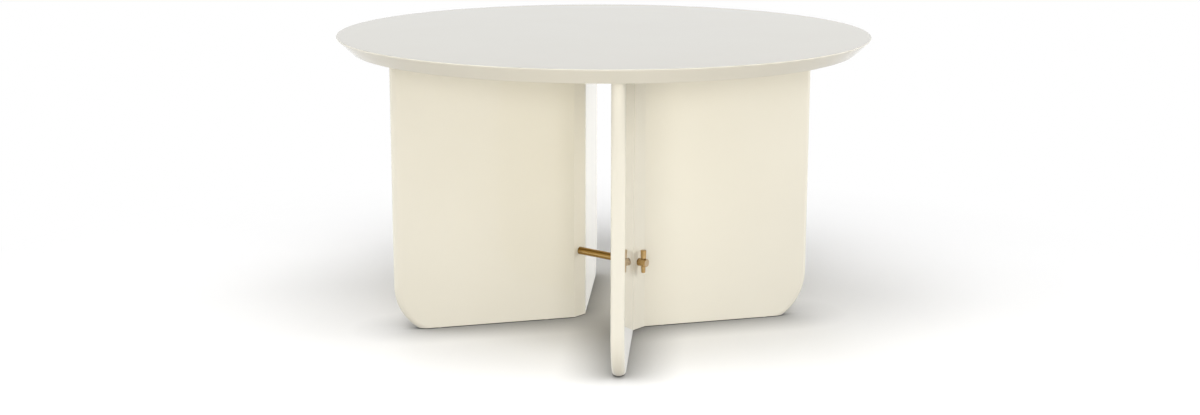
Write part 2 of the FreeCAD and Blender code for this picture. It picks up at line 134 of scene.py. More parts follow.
class Shader:
    """A node tree for a material or the world, filled one node at a time."""

    def __init__(self, owner: bpy.types.Material | bpy.types.World) -> None:
        """Starts from an empty tree.

        Args:
            owner: The material or world whose nodes are made.
        """
        owner.use_nodes = True
        self.tree = owner.node_tree
        self.tree.nodes.clear()

    def node(
        self,
        kind: str,
        settings: dict[str, object] | None = None,
        inputs: dict[str | int, object] | None = None,
        output: str | int = 0,
    ) -> Value:
        """Adds one node.

        Args:
            kind: The node's type.
            settings: Its settings, set first.
            inputs: Values or links of its sockets, by name, identifier or number.
            output: The socket to give back.

        Returns:
            The chosen output, or the first input of a node that has no outputs.
        """
        node = self.tree.nodes.new(kind)
        for name, setting in (settings or {}).items():
            setattr(node, name, setting)
        for key, given in (inputs or {}).items():
            socket = self.find(node.inputs, key)
            if isinstance(given, Value):
                self.tree.links.new(given.socket, socket)
            else:
                socket.default_value = given
        if not node.outputs:
            return Value(self, node.inputs[0])
        return Value(self, self.find(node.outputs, output))

    @staticmethod
    def find(sockets: bpy.types.bpy_prop_collection, key: str | int) -> bpy.types.NodeSocket:
        """Finds a socket.

        Args:
            sockets: A node's inputs or outputs.
            key: The socket's number, identifier or name.

        Returns:
            The socket.
        """
        if isinstance(key, int):
            return sockets[key]
        return next((s for s in sockets if s.identifier == key), None) or sockets[key]

    def place(self, scale: Point | None = None) -> Value:
        """Gives object coordinates.

        Args:
            scale: How much each axis is stretched, if any is.

        Returns:
            The coordinates.
        """
        here = self.node("ShaderNodeTexCoord", output="Object")
        if scale is None:
            return here
        return self.node("ShaderNodeMapping", {}, {"Vector": here, "Scale": scale})

    def along(self, where: Value, axis: str) -> Value:
        """Gives one coordinate of a place."""
        return self.node("ShaderNodeSeparateXYZ", {}, {0: where}, axis)

    def noise(self, where: Value, scale: float = 1.0, detail: float = 2.0) -> Value:
        """Gives noise about 0.5.

        Args:
            where: Coordinates.
            scale: Lumps per metre.
            detail: Octaves added.

        Returns:
            The noise.
        """
        return self.node("ShaderNodeTexNoise", {}, {"Vector": where, "Scale": scale, "Detail": detail})

    def blend(self, share: Value, low: Value | Colour, high: Value | Colour) -> Value:
        """Mixes two colours.

        Args:
            share: 0 for the first and 1 for the second.
            low: The first colour.
            high: The second colour.

        Returns:
            The mixed colour.
        """
        first, second = (each if isinstance(each, Value) else (*each, 1.0) for each in (low, high))
        inputs = {"Factor_Float": share, "A_Color": first, "B_Color": second}
        return self.node("ShaderNodeMix", {"data_type": "RGBA"}, inputs, "Result_Color")

    def choose(self, share: Value, low: Value, high: Value) -> Value:
        """Mixes two surfaces, from the first at a share of 0 to the second at 1."""
        return self.node("ShaderNodeMixShader", {}, {0: share, 1: low, 2: high})

    def relief(self, height: Value, depth: float) -> Value:
        """Gives a bumped normal.

        Args:
            height: Height of the surface, 0 to 1.
            depth: Metres from 0 to 1.

        Returns:
            The normal.
        """
        return self.node("ShaderNodeBump", {}, {"Strength": 1.0, "Distance": depth, "Height": height})

    def surface(self, inputs: dict[str | int, object]) -> None:
        """Ends the tree in a Principled surface.

        Args:
            inputs: Values or links of its sockets.
        """
        shader = self.node("ShaderNodeBsdfPrincipled", {}, inputs)
        self.node("ShaderNodeOutputMaterial", {}, {"Surface": shader})


# Finishes: lumps are per metre, and a range is where a noise turns from 0 to 1


class Finish(Protocol):
    """What every finish gives: its slot in the record and its nodes."""

    slot: str

    def lay(self, shader: Shader) -> None:
        """Fills a shader's tree."""


class Grain(Enum):
    """Which way a drawn or turned metal's fine lines run, as a stretch of the noise."""

    ALONG_X = (30.0, 2600.0, 2600.0)
    ALONG_Z = (2600.0, 2600.0, 30.0)


@dataclass(frozen=True)
class CreamLacquer:
    """Sprayed cream lacquer, rubbed flat and polished to a high gloss."""

    slot: str = "cream_lacquer"
    colour: Colour = (0.820, 0.786, 0.680)
    thin: Colour = (0.808, 0.772, 0.662)
    gloss: float = 0.02
    index: float = 1.5
    drift_lumps: float = 5.0
    drift_range: Span = (0.3, 0.7)
    haze: float = 0.015
    haze_lumps: float = 900.0
    haze_stretch: Point = (1.0, 0.35, 1.0)
    haze_power: float = 3.0
    peel_lumps: float = 240.0
    peel_depth: float = 0.000003

    def lay(self, shader: Shader) -> None:
        """Fills the tree: a slow drift of tone, faint polishing haze and a little orange peel.

        Args:
            shader: The tree to fill.
        """
        here = shader.place()
        drift = shader.noise(here, self.drift_lumps, detail=3.0).step(*self.drift_range)
        haze = shader.noise(shader.place(self.haze_stretch), self.haze_lumps, detail=3.0)
        peel = shader.noise(here, self.peel_lumps, detail=1.0)
        shader.surface(
            {
                "Base Color": shader.blend(drift, self.thin, self.colour),
                "Roughness": self.gloss + haze**self.haze_power * self.haze,
                "IOR": self.index,
                "Normal": shader.relief(peel, self.peel_depth),
            }
        )


@dataclass(frozen=True)
class SatinBrass:
    """Drawn brass bar, left unlacquered and lightly brushed."""

    grain: Grain = Grain.ALONG_Z
    slot: str = "brass"
    bright: Colour = (0.640, 0.455, 0.225)
    dull: Colour = (0.430, 0.270, 0.100)
    roughness: float = 0.16
    line_range: Span = (0.3, 0.7)
    line_share: float = 0.6  # of the tone; the patina has the rest
    line_roughness: float = 0.10
    line_depth: float = 0.000008
    patina_lumps: float = 90.0
    patina_range: Span = (0.35, 0.75)
    patina_roughness: float = 0.05

    def lay(self, shader: Shader) -> None:
        """Fills the tree: fine lines along the bar over a slow patina.

        Args:
            shader: The tree to fill.
        """
        lines = shader.noise(shader.place(self.grain.value), detail=3.0)
        patina = shader.noise(shader.place(), self.patina_lumps, detail=4.0).step(*self.patina_range)
        shader.surface(
            {
                "Base Color": self.skin(shader, lines.step(*self.line_range), patina),
                "Metallic": 1.0,
                "Roughness": self.roughness + lines * self.line_roughness + patina * self.patina_roughness,
                "Normal": shader.relief(lines, self.line_depth),
            }
        )

    def skin(self, shader: Shader, streak: Value, patina: Value) -> Value:
        """Gives the colour of the bar's skin.

        Args:
            shader: The tree to fill.
            streak: The fine lines along the bar.
            patina: Where the metal is patinated.

        Returns:
            The colour.
        """
        tone = streak * self.line_share + patina * (1 - self.line_share)
        return shader.blend(tone, self.dull, self.bright)


@dataclass(frozen=True)
class RodWithPaintedLight(SatinBrass):
    """The rod's brass, with painted light: painted shade between the legs, a dark painted reflection along
    its upper side and a painted highlight along its sides; its ends are plain brass.
    """

    grain: Grain = Grain.ALONG_X
    line_range: Span = (0.25, 0.75)
    # painted shade: the rod's colour between the legs, darker than its plain brass
    gap_shade: Colour = (0.330, 0.190, 0.046)
    # painted reflection: the dark band along the rod's upper side
    dark: Colour = (0.130, 0.060, 0.011)
    dark_start: Span = (0.45, 0.60)  # up from the rod's axis, in radii
    dark_end: Span = (0.71, 0.86)
    dark_even: float = 0.65  # the rest of the dark band is streaked
    # painted highlight: the bright band along the rod's sides
    painted_highlight: Colour = (0.560, 0.395, 0.175)
    highlight_range: Span = (0.05, 0.26)
    highlight_even: float = 0.55
    gap_shade_ends: Span = (0.0720, 0.0745)  # along the rod, where the painted shade between the legs gives way to plain brass at the ends

    def skin(self, shader: Shader, streak: Value, patina: Value) -> Value:
        """Gives the colour of the skin, with painted light: painted shade between the legs, a dark painted
        reflection on the upper side and a painted highlight along the sides.

        Args:
            shader: The tree to fill.
            streak: The fine lines along the bar.
            patina: Where the metal is patinated.

        Returns:
            The colour.
        """
        here = shader.place()
        level = (shader.along(here, "Z") - ROD_HEIGHT) * (1 / ROD_RADIUS)
        # painted reflection: a dark band on the upper side of the rod, by height round its axis
        upper = level.step(*self.dark_start) * (1.0 - level.step(*self.dark_end))
        # painted highlight: a bright band where the rod's side faces level
        side = 1.0 - abs(level).step(*self.highlight_range)
        # the painted shade between the legs stops here; the ends are plain brass
        ends = abs(shader.along(here, "X")).step(*self.gap_shade_ends)
        dark_reflection = upper * (self.dark_even + (1 - self.dark_even) * streak)
        painted_highlight = side * (self.highlight_even + (1 - self.highlight_even) * streak)
        middle = shader.blend(painted_highlight, shader.blend(dark_reflection, self.gap_shade, self.dark), self.painted_highlight)
        return shader.blend(ends, middle, super().skin(shader, streak, patina))


@dataclass(frozen=True)
class PinBrass(SatinBrass):
    """A taper pin's brass, with a painted shadow line where it sits in the rod."""

    # painted shade: a dark line on the pin just above the rod, where it sits in the rod
    seat_shade: Colour = (0.150, 0.072, 0.016)
    seat_shade_share: float = 0.85
    seat_shade_height: float = ROD_HEIGHT + ROD_RADIUS + 0.0003
    seat_shade_fade: Span = (0.00052, 0.0013)

    def skin(self, shader: Shader, streak: Value, patina: Value) -> Value:
        """Gives the colour of the skin, with the painted shadow line at the seat.

        Args:
            shader: The tree to fill.
            streak: The fine lines along the pin.
            patina: Where the metal is patinated.

        Returns:
            The colour.
        """
        away = abs(shader.along(shader.place(), "Z") - self.seat_shade_height)
        # painted shadow at the seat
        seat = (1.0 - away.step(*self.seat_shade_fade)) * self.seat_shade_share
        return shader.blend(seat, super().skin(shader, streak, patina), self.seat_shade)


@dataclass(frozen=True)
class SawnBrass(SatinBrass):
    """A sawn and sanded end of the bar, paler than its drawn skin."""

    bright: Colour = (0.640, 0.505, 0.350)
    dull: Colour = (0.520, 0.390, 0.245)
    roughness: float = 0.30


@dataclass(frozen=True)
class ZincPlate:
    """Bright zinc plate on steel, with a faint blue and straw cast."""

    slot: str = "zinc_steel"
    cool: Colour = (0.50, 0.54, 0.60)
    warm: Colour = (0.62, 0.60, 0.53)
    roughness: float = 0.28
    cloud_lumps: float = 70.0
    cloud_range: Span = (0.3, 0.7)
    crystal_lumps: float = 900.0
    crystal_roughness: float = 0.15
    grit_lumps: float = 3000.0
    grit_roughness: float = 0.06
    grit_depth: float = 0.00002

    def lay(self, shader: Shader) -> None:
        """Fills the tree: cloudy colour, small crystals and a fine grit.

        Args:
            shader: The tree to fill.
        """
        here = shader.place()
        cloud = shader.noise(here, self.cloud_lumps, detail=3.0).step(*self.cloud_range)
        cells = {"Vector": here, "Scale": self.crystal_lumps}
        crystal = shader.node("ShaderNodeTexVoronoi", {}, cells, "Distance")
        grit = shader.noise(here, self.grit_lumps)
        shader.surface(
            {
                "Base Color": shader.blend(cloud, self.cool, self.warm),
                "Metallic": 1.0,
                "Roughness": self.roughness + crystal * self.crystal_roughness + grit * self.grit_roughness,
                "Normal": shader.relief(grit, self.grit_depth),
            }
        )


@dataclass(frozen=True)
class TurnedBrass:
    """Free-cutting brass with the rings that a lathe leaves."""

    slot: str = "insert_brass"
    bright: Colour = (0.68, 0.48, 0.20)
    dull: Colour = (0.55, 0.37, 0.14)
    roughness: float = 0.26
    ring_stretch: Point = (60.0, 60.0, 4000.0)
    ring_roughness: float = 0.15
    ring_depth: float = 0.00003
    tarnish_lumps: float = 240.0
    tarnish_range: Span = (0.4, 0.7)

    def lay(self, shader: Shader) -> None:
        """Fills the tree: rings up the axis with a little tarnish.

        Args:
            shader: The tree to fill.
        """
        rings = shader.noise(shader.place(self.ring_stretch))
        tarnish = shader.noise(shader.place(), self.tarnish_lumps, detail=3.0).step(*self.tarnish_range)
        shader.surface(
            {
                "Base Color": shader.blend(tarnish, self.bright, self.dull),
                "Metallic": 1.0,
                "Roughness": self.roughness + rings * self.ring_roughness,
                "Normal": shader.relief(rings, self.ring_depth),
            }
        )


@dataclass(frozen=True)
class BarePlywood:
    """Birch plywood: pale veneers with darker crossed ones between them."""

    slot: str = "bare_plywood"
    veneer: Colour = (0.58, 0.42, 0.24)
    cross: Colour = (0.46, 0.31, 0.16)
    roughness: float = 0.62
    fibre_stretch: Point = (900.0, 900.0, 40.0)
    fibre_share: float = 0.5  # of the tone; the bands have the rest
    fibre_roughness: float = 0.2
    pore_depth: float = 0.00008
    band_lumps: float = 420.0
    band_stretch: Point = (1.0, 1.0, 0.05)
    band_range: Span = (0.42, 0.58)

    def lay(self, shader: Shader) -> None:
        """Fills the tree: long open-pored fibres over the bands of the veneers.

        Args:
            shader: The tree to fill.
        """
        fibre = shader.noise(shader.place(self.fibre_stretch), detail=4.0)
        bands = shader.noise(shader.place(self.band_stretch), self.band_lumps, detail=1.0)
        tone = fibre * self.fibre_share + bands.step(*self.band_range) * (1 - self.fibre_share)
        shader.surface(
            {
                "Base Color": shader.blend(tone, self.veneer, self.cross),
                "Roughness": self.roughness + fibre * self.fibre_roughness,
                "Normal": shader.relief(fibre, self.pore_depth),
            }
        )


@dataclass(frozen=True)
class MouldedNylon:
    """Off-white moulded nylon with a fine spark-eroded grain."""

    slot: str = "nylon"
    clean: Colour = (0.74, 0.73, 0.69)
    scuffed: Colour = (0.55, 0.53, 0.49)
    roughness: float = 0.42
    grain_lumps: float = 2200.0
    grain_roughness: float = 0.2
    grain_depth: float = 0.00004
    scuff_lumps: float = 500.0
    scuff_stretch: Point = (1.0, 0.2, 1.0)
    scuff_range: Span = (0.5, 0.75)

    def lay(self, shader: Shader) -> None:
        """Fills the tree: mould grain, with scuffs where it slides.

        Args:
            shader: The tree to fill.
        """
        grain = shader.noise(shader.place(), self.grain_lumps)
        scuff = shader.noise(shader.place(self.scuff_stretch), self.scuff_lumps, detail=4.0)
        shader.surface(
            {
                "Base Color": shader.blend(scuff.step(*self.scuff_range), self.clean, self.scuffed),
                "Roughness": self.roughness + grain * self.grain_roughness,
                "Normal": shader.relief(grain, self.grain_depth),
            }
        )


@cache
def material_of(finish: Finish) -> bpy.types.Material:
    """Makes a finish's material once.

    Args:
        finish: The finish.

    Returns:
        Its material.
    """
    material = bpy.data.materials.new(f"{finish.slot}_{type(finish).__name__}")
    finish.lay(Shader(material))
    return material


# Shape building


class Outline:
    """A chain of lines and arcs, drawn vertex by vertex, that is then turned or made a slab."""

    def __init__(self, start: Vector) -> None:
        """Starts the chain at a point."""
        self.shape = bmesh.new()
        self.chain = [self.shape.verts.new(start)]

    def line(self, *points: Vector) -> None:
        """Draws straight runs.

        Args:
            points: The ends of the runs, in order.
        """
        for point in points:
            vertex = self.shape.verts.new(point)
            self.shape.edges.new((self.chain[-1], vertex))
            self.chain.append(vertex)

    def arc(self, centre: Vector, axis: Vector, angle: float, steps: int) -> None:
        """Sweeps the last point round a centre.

        Args:
            centre: Centre of the arc.
            axis: What it turns about.
            angle: How far, in radians.
            steps: Edges along the arc.
        """
        drawn = len(self.shape.verts)
        bmesh.ops.spin(
            self.shape,
            geom=[self.chain[-1]],
            cent=centre,
            axis=axis,
            angle=angle,
            steps=steps,
            use_merge=False,
        )
        self.chain.extend(list(self.shape.verts)[drawn:])

    def turned(self, centre: Vector, axis: Vector, steps: int) -> bmesh.types.BMesh:
        """Spins the chain right round an axis that both its ends lie on.

        Args:
            centre: A point on the axis.
            axis: Its direction.
            steps: Faces round it.

        Returns:
            The closed shape.
        """
        shape = self.shape
        bmesh.ops.spin(
            shape,
            geom=[*shape.verts, *shape.edges],
            cent=centre,
            axis=axis,
            angle=FULL_TURN,
            steps=steps,
            use_merge=True,
        )
        bmesh.ops.remove_doubles(shape, verts=shape.verts, dist=NEAR)
        bmesh.ops.recalc_face_normals(shape, faces=shape.faces)
        return shape

    def slab(self, thickness: Vector) -> bmesh.types.BMesh:
        """Fills the chain, closed from its last point to its first, and gives it a thickness.

        Args:
            thickness: From the drawn face to the far one.

        Returns:
            The closed shape.
        """
        shape = self.shape
        face = shape.faces.new(self.chain)
        grown = bmesh.ops.extrude_face_region(shape, geom=[face])["geom"]
        moved = [part for part in grown if isinstance(part, bmesh.types.BMVert)]
        bmesh.ops.translate(shape, vec=thickness, verts=moved)
        bmesh.ops.recalc_face_normals(shape, faces=shape.faces)
        return shape


def round_edges(
    shape: bmesh.types.BMesh,
    edges: list[bmesh.types.BMEdge],
    size: float,
    segments: int,
) -> None:
    """Rounds edges.

    Args:
        shape: The shape they are on.
        edges: The edges.
        size: From the edge to where the round starts.
        segments: Faces across the round.
    """
    bmesh.ops.bevel(
        shape,
        geom=edges,
        offset=size,
        offset_type="OFFSET",
        affect="EDGES",
        segments=segments,
        profile=0.5,
        material=-1,
        clamp_overlap=True,
    )


def bored(shape: bmesh.types.BMesh, *cutters: bmesh.types.BMesh) -> bmesh.types.BMesh:
    """Cuts holes.

    Args:
        shape: What is bored; it is used up.
        cutters: The holes' own shapes; they are used up too.

    Returns:
        The bored shape.
    """
    stock = loose_object("stock", shape)
    tools = [loose_object(f"tool_{number}", cutter) for number, cutter in enumerate(cutters)]
    for tool in tools:
        cut = stock.modifiers.new(tool.name, "BOOLEAN")
        cut.operation = "DIFFERENCE"
        cut.solver = "EXACT"
        cut.object = tool
    graph = bpy.context.evaluated_depsgraph_get()
    mesh = bpy.data.meshes.new_from_object(stock.evaluated_get(graph))
    result = bmesh.new()
    result.from_mesh(mesh)
    for thing in [stock, *tools]:
        bpy.data.meshes.remove(thing.data)
    bpy.data.meshes.remove(mesh)
    return result


def loose_object(name: str, shape: bmesh.types.BMesh) -> bpy.types.Object:
    """Turns a shape into an object at the origin.

    Args:
        name: The object's name.
        shape: Its shape, which is used up.

    Returns:
        The object.
    """
    mesh = bpy.data.meshes.new(name)
    shape.to_mesh(mesh)
    shape.free()
    thing = bpy.data.objects.new(name, mesh)
    bpy.context.scene.collection.objects.link(thing)
    return thing


# Sub-assemblies


class SubAssembly:
    """What the sub-assemblies share: setting a new piece in place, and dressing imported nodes."""

    @staticmethod
    def set_piece(
        name: str,
        shape: bmesh.types.BMesh,
        node: str,
        body: str,
        finish: Finish,
    ) -> bpy.types.Object:
        """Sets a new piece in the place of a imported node.

        Args:
            name: The piece's name.
            shape: Its shape, which is used up.
            node: The node that it stands for.
            body: The body that it rides on.
            finish: Its finish.

        Returns:
            The piece.
        """
        for face in shape.faces:
            face.smooth = True
        piece = loose_object(name, shape)
        piece.data.set_sharp_from_angle(angle=CREASE)
        piece.data.materials.append(material_of(finish))
        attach(piece, body)
        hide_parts(node)
        LOG.info("%s: %d faces on %s", name, len(piece.data.polygons), body)
        return piece

    @staticmethod
    def dress(node: str, finish: Finish) -> None:
        """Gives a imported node, whose shape is right, its finish.

        Args:
            node: The node's name.
            finish: Its finish.
        """
        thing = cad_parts[node]
        for slot in thing.material_slots:
            slot.material = material_of(finish)
        LOG.info("%s: %s", node, finish.slot)


@dataclass
class RoundTop(SubAssembly):
    """The top: flat above, bevelled below, with a small rounded nose."""

    radius: float = 0.4065
    upper: float = 0.459
    thickness: float = 0.022
    bevel_run: float = 0.0235
    nose: float = 0.001
    nose_steps: int = 14
    shoulder: float = 0.003
    under_round: float = 0.0012
    under_steps: int = 3
    steps: int = 288

    def build(self) -> None:
        """Turns the top from its half section."""
        slope = math.atan2(self.thickness, self.bevel_run)
        sharp = self.radius + self.nose * (1 / math.tan(slope / 2) - 1)
        centre = Vector((self.radius - self.nose, 0, self.upper - self.nose))
        brow = centre + AXIS_Z * self.nose
        foot = Vector((sharp - self.bevel_run, 0, self.upper - self.thickness))
        down = Vector((-math.cos(slope), 0, -math.sin(slope)))
        outline = Outline(Vector((0, 0, self.upper)))
        outline.line(brow - AXIS_X * self.shoulder, brow)
        outline.arc(centre, AXIS_Y, math.pi - slope, self.nose_steps)
        outline.line(outline.chain[-1].co + down * self.shoulder, foot - down * self.shoulder, foot)
        outline.line(foot - AXIS_X * self.shoulder, Vector((0, 0, foot.z)))
        shape = outline.turned(ORIGIN, AXIS_Z, self.steps)
        round_edges(shape, self.ring_at(shape, foot), self.under_round, self.under_steps)
        self.set_piece("round_top", shape, "table_top", "table", CreamLacquer())

    @staticmethod
    def ring_at(shape: bmesh.types.BMesh, point: Vector) -> list[bmesh.types.BMEdge]:
        """Finds the ring of edges that a point of the section drew.

        Args:
            shape: The turned top.
            point: The point, in the section's plane.

        Returns:
            The edges of that ring.
        """

        def is_on(vertex: bmesh.types.BMVert) -> bool:
            """Tells whether a vertex is on the ring."""
            return abs(vertex.co.xy.length - point.x) < NEAR and abs(vertex.co.z - point.z) < NEAR

        return [edge for edge in shape.edges if all(is_on(vertex) for vertex in edge.verts)]


class LegSide(Enum):
    """A leg's name, its end of the tie rod, and its two wings, each with its side of the rod."""

    LEFT = ("left", -1, {"side": 1, "rear": -1})
    RIGHT = ("right", 1, {"side": 1, "front": -1})


@dataclass
class PanelLeg(SubAssembly):
    """A V leg: a narrow post with a hole for the rod, and two wings with a rounded outer edge."""

    side: LegSide
    facet: float = 0.047
    half_width: float = 0.014
    angle: float = math.radians(55)
    length: float = 0.287
    thickness: float = 0.020
    foot: float = 0.001
    head: float = 0.437
    corner: float = 0.085
    corner_height: float = 0.071
    corner_steps: int = 26
    bullnose: float = 0.00995
    bullnose_steps: int = 12
    arris: float = 0.0007
    arris_steps: int = 3
    margin: float = 0.0012
    cove: float = 0.005
    cove_steps: int = 6
    hole: float = 0.0061
    hole_steps: int = 64

    def build(self) -> None:
        """Builds the post and both wings."""
        name, sign, wings = self.side.value
        self.build_post(name, sign)
        for wing, turn in wings.items():
            self.build_wing(f"{name}_{wing}", sign, turn)

    def build_wing(self, name: str, sign: int, turn: int) -> None:
        """Builds a wing flat, with x along it and y through it, then swings it into place.

        Args:
            name: Leg and side of the wing.
            sign: The leg's end of the rod.
            turn: The wing's side of the rod, as the right leg has it.
        """
        centre = Vector((self.length - self.corner, 0, self.corner_height))
        sweep = math.asin((self.corner_height - self.foot) / self.corner)
        outline = Outline(Vector((0, 0, self.foot)))
        outline.line(Vector((0, 0, self.head)), Vector((self.length, 0, self.head)))
        outline.line(centre + AXIS_X * self.corner)
        outline.arc(centre, AXIS_Y, sweep, self.corner_steps)
        flat_end = outline.chain[-1].co.x
        shape = outline.slab(AXIS_Y * self.thickness)
        inner = [v for v in shape.verts if v.co.x < NEAR and v.co.y > NEAR]
        bmesh.ops.translate(shape, vec=AXIS_X * (self.thickness / math.tan(self.angle)), verts=inner)
        outer = [edge for edge in shape.edges if self.is_outer(edge, flat_end)]
        round_edges(shape, outer, self.bullnose, self.bullnose_steps)
        bottom = [edge for edge in shape.edges if self.is_foot(edge)]
        round_edges(shape, bottom, self.arris, self.arris_steps)
        broad = [face for face in shape.faces if abs(face.normal.y) > SQUARE_ON]
        bmesh.ops.inset_individual(shape, faces=broad, thickness=self.margin, use_even_offset=True)
        along, across = Vector((math.cos(self.angle), math.sin(self.angle))), turn * sign
        place = Matrix(
            (
                (sign * along.x, sign * along.y, 0, sign * self.facet),
                (across * along.y, -across * along.x, 0, across * self.half_width),
                (0, 0, 1, 0),
                (0, 0, 0, 1),
            )
        )
        bmesh.ops.transform(shape, matrix=place, verts=shape.verts)
        bmesh.ops.recalc_face_normals(shape, faces=shape.faces)
        self.set_piece(f"{name}_panel", shape, f"{name}_wing", "table", CreamLacquer())

    def is_outer(self, edge: bmesh.types.BMEdge, flat_end: float) -> bool:
        """Tells whether an edge runs along the rounded outer edge of a wing.

        Args:
            edge: An edge of the flat wing.
            flat_end: Where its flat bottom ends.

        Returns:
            True for the upright edge and the corner below it.
        """
        one, two = (vertex.co for vertex in edge.verts)
        beyond = min(one.x, two.x) > flat_end - NEAR
        return beyond and abs(one.y - two.y) < NEAR

    def is_foot(self, edge: bmesh.types.BMEdge) -> bool:
        """Tells whether an edge is round a wing's bottom, other than at the post.

        Args:
            edge: An edge of the flat wing.

        Returns:
            True for an edge that is eased.
        """
        slant = math.tan(self.angle)
        level = all(v.co.z < self.foot + NEAR for v in edge.verts)
        at_post = all(abs(v.co.x - v.co.y / slant) < NEAR for v in edge.verts)
        return level and not at_post

    def build_post(self, name: str, sign: int) -> None:
        """Builds the post from its plan, with a small cove into each wing, and bores it.

        Args:
            name: The leg's name.
            sign: Its end of the rod.
        """
        inner = self.facet + self.thickness / math.sin(self.angle)
        bend = QUARTER_TURN - self.angle
        run = self.cove * math.tan(bend / 2)
        inset = run + self.margin
        along = Vector((math.cos(self.angle), math.sin(self.angle), 0))
        far = Vector((inner, self.half_width, self.foot))
        near = Vector((inner, -self.half_width, self.foot))
        outline = Outline(Vector((self.facet, -self.half_width, self.foot)))
        outline.line(Vector((self.facet, self.half_width, self.foot)), far, far + along * run)
        outline.arc(far + Vector((self.cove, -run, 0)), AXIS_Z, bend, self.cove_steps)
        outline.line(far - AXIS_Y * inset, near + AXIS_Y * inset, near + AXIS_Y * run)
        outline.arc(near + Vector((self.cove, run, 0)), AXIS_Z, bend, self.cove_steps)
        outline.line(near)
        shape = outline.slab(AXIS_Z * (self.head - self.foot))
        shape = bored(shape, self.rod_hole(inner))
        if sign < 0:
            half_turn = Matrix.Rotation(math.pi, 3, "Z")
            bmesh.ops.rotate(shape, cent=ORIGIN, matrix=half_turn, verts=shape.verts)
        self.set_piece(f"{name}_post_panel", shape, f"{name}_post", "table", CreamLacquer())

    def rod_hole(self, inner: float) -> bmesh.types.BMesh:
        """Makes the shape that bores a post.

        Args:
            inner: Where the post's inner face is.

        Returns:
            The hole's shape, longer than the hole at both ends.
        """
        start = Vector((self.facet - self.thickness, 0, ROD_HEIGHT))
        end = Vector((inner + self.thickness, 0, ROD_HEIGHT))
        outline = Outline(start)
        outline.line(start + AXIS_Z * self.hole, end + AXIS_Z * self.hole, end)
        return outline.turned(start, AXIS_X, self.hole_steps)


@dataclass
class TieBar(SubAssembly):
    """The brass rod between the legs, and the taper pin through each of its ends."""

    half_length: float = 0.086416
    rod_steps: int = 96
    end_round: float = 0.0006
    end_steps: int = 4
    pin_place: float = 0.079716
    pin_foot: float = 0.092
    pin_head: float = 0.128
    pin_steps: int = 64
    foot_radius: float = 0.00315
    foot_round: float = 0.0007
    foot_steps: int = 4
    head_radius: float = 0.00455
    head_round: float = 0.0013
    head_steps: int = 6
    ease: float = 0.00004

    def build(self) -> None:
        """Builds the rod and both pins."""
        self.build_rod()
        for side in LegSide:
            name, sign, _ = side.value
            shape = self.taper(sign, 0.0)
            self.set_piece(f"{name}_brass_pin", shape, f"{name}_taper_pin", f"{name}_pin", PinBrass())

    def build_rod(self) -> None:
        """Turns the rod, bores it for the pins and gives its ends their own finish."""
        axis, end, soft = AXIS_Z * ROD_HEIGHT, self.half_length, self.end_round
        rim = axis + AXIS_Z * (ROD_RADIUS - soft)
        outline = Outline(axis - AXIS_X * end)
        outline.line(rim - AXIS_X * end)
        outline.arc(rim - AXIS_X * (end - soft), AXIS_Y, QUARTER_TURN, self.end_steps)
        outline.line(axis + Vector((end - soft, 0, ROD_RADIUS)))
        outline.arc(rim + AXIS_X * (end - soft), AXIS_Y, QUARTER_TURN, self.end_steps)
        outline.line(axis + AXIS_X * end)
        shape = outline.turned(axis, AXIS_X, self.rod_steps)
        shape = bored(shape, self.taper(-1, self.ease), self.taper(1, self.ease))
        rod = self.set_piece("brass_rod", shape, "tie_rod", "table", RodWithPaintedLight())
        rod.data.materials.append(material_of(SawnBrass()))
        sawn = len(rod.data.materials) - 1
        for face in rod.data.polygons:
            if abs(face.center.x) > end - NEAR:
                face.material_index = sawn

    def taper(self, sign: int, ease: float) -> bmesh.types.BMesh:
        """Turns a taper pin, or the hole for one.

        Args:
            sign: The pin's end of the rod.
            ease: Room added round the pin.

        Returns:
            The shape.
        """
        foot = Vector((sign * self.pin_place, 0, self.pin_foot))
        head = Vector((sign * self.pin_place, 0, self.pin_head))
        low, high = self.foot_radius + ease, self.head_radius + ease
        brow = head + AXIS_X * (high - self.head_round)
        toe = foot + Vector((low, 0, self.foot_round))
        outline = Outline(head)
        outline.line(brow)
        outline.arc(brow - AXIS_Z * self.head_round, AXIS_Y, QUARTER_TURN, self.head_steps)
        outline.line(toe)
        outline.arc(toe - AXIS_X * self.foot_round, AXIS_Y, QUARTER_TURN, self.foot_steps)
        outline.line(foot)
        return outline.turned(foot, AXIS_Z, self.pin_steps)


@dataclass
class TopFixings(SubAssembly):
    """What holds the top to the legs, and the wings to their posts."""

    legs: tuple[LegSide, ...] = tuple(LegSide)

    def build(self) -> None:
        """Dresses the brackets, splines, screws and inserts."""
        for leg in self.legs:
            name, _, wings = leg.value
            for wing in wings:
                self.dress(f"{name}_{wing}_bracket", ZincPlate())
                self.dress(f"{name}_{wing}_spline", BarePlywood())
            self.dress(f"{name}_bracket_wood_screws", ZincPlate())
            self.dress(f"{name}_bracket_bolts", ZincPlate())
            self.dress(f"{name}_top_inserts", TurnedBrass())


@dataclass
class FloorGlides(SubAssembly):
    """The glides under the wings, and the nails that hold them."""

    legs: tuple[LegSide, ...] = tuple(LegSide)

    def build(self) -> None:
        """Dresses the glides and nails."""
        for leg in self.legs:
            name = leg.value[0]
            self.dress(f"{name}_leg_glides", MouldedNylon())
            self.dress(f"{name}_glide_nails", ZincPlate())


# Studio


class Lights(Enum):
    """What a lamp lights, as the floor's state in the lamp's own list."""

    EVERYTHING = None
    FLOOR_ALONE = "INCLUDE"
    ALL_BUT_FLOOR = "EXCLUDE"


